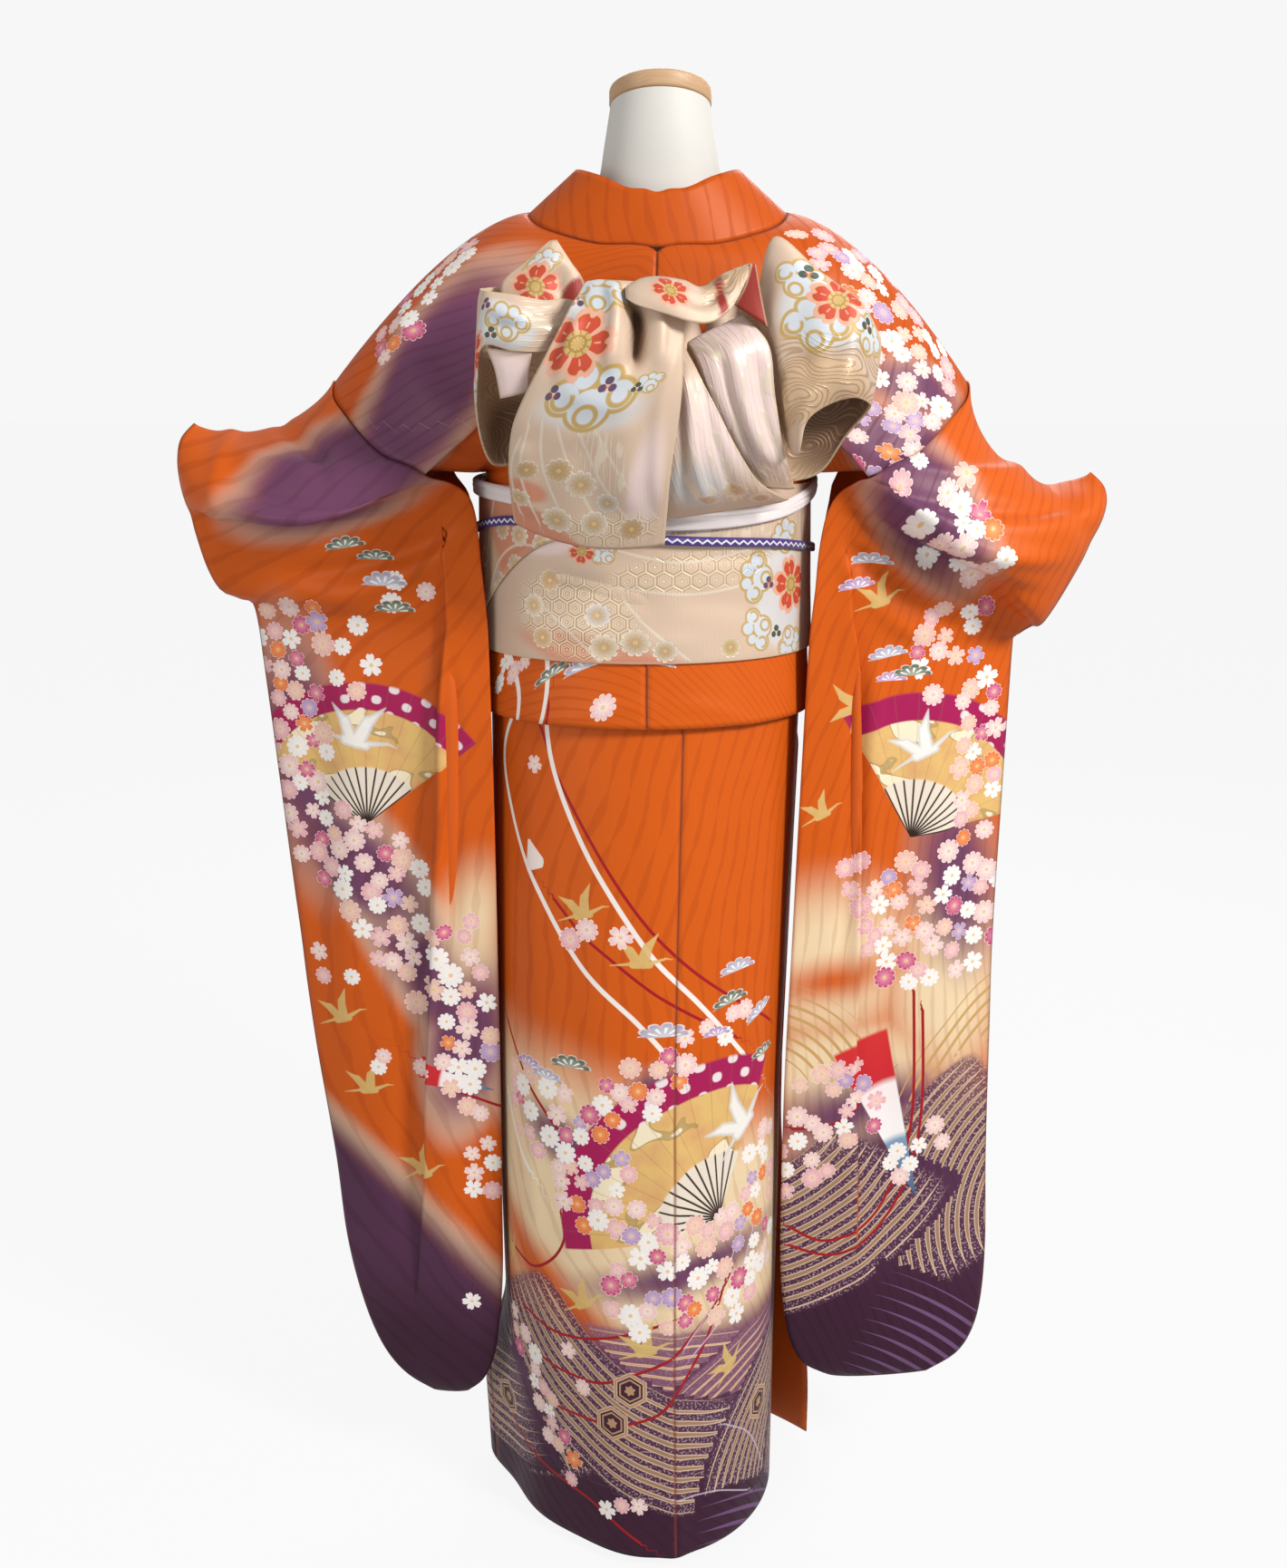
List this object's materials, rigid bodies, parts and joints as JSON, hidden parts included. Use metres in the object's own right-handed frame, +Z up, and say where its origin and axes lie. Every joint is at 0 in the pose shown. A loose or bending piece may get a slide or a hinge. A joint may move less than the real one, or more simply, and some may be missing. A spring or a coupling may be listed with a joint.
{
  "type": "furisode kimono on dress form",
  "caption": "Long-sleeved furisode kimono with wrapped skirt, crossed collar and a sash tied in a back bow, shown on a limbless dress form.",
  "frame": {"origin": "centre of the stand's base on the floor", "axes": "+Z up; the garment's back with the bow faces -Y, its crossed front faces +Y; +X is the wearer's right side"},
  "size_m": [0.9194, 0.3916, 1.5081],
  "materials": {
    "orange_silk": "satin",
    "gold_brocade": "satin",
    "purple_braid": "matte",
    "white_band": "matte",
    "form_cloth": "matte",
    "pale_wood": "satin",
    "dark_metal": "satin"
  },
  "bodies": {
    "root": {"form_base": "dark_metal", "form_pole": "dark_metal", "form_torso": "form_cloth", "form_cap": "pale_wood", "overlap_right": "orange_silk", "skirt_front_right": "orange_silk", "skirt_back_right": "orange_silk", "skirt_back_left": "orange_silk", "skirt_front_left": "orange_silk", "overlap_left": "orange_silk", "body_left": "orange_silk", "body_right": "orange_silk", "collar": "orange_silk", "sleeve_left": "orange_silk", "sleeve_right": "orange_silk", "obi_wrap": "gold_brocade", "obi_fold": "gold_brocade", "obiage": "white_band", "obijime": "purple_braid", "obijime_knot": "purple_braid", "bow_knot": "gold_brocade", "bow_loop_right": "gold_brocade", "bow_loop_left": "gold_brocade", "bow_fold_left": "gold_brocade", "bow_corner_left": "gold_brocade", "bow_roll": "gold_brocade", "bow_peak": "gold_brocade", "bow_flap": "gold_brocade", "bow_pleat_inner": "gold_brocade", "bow_pleat_outer": "gold_brocade"}
  },
  "joints": []
}
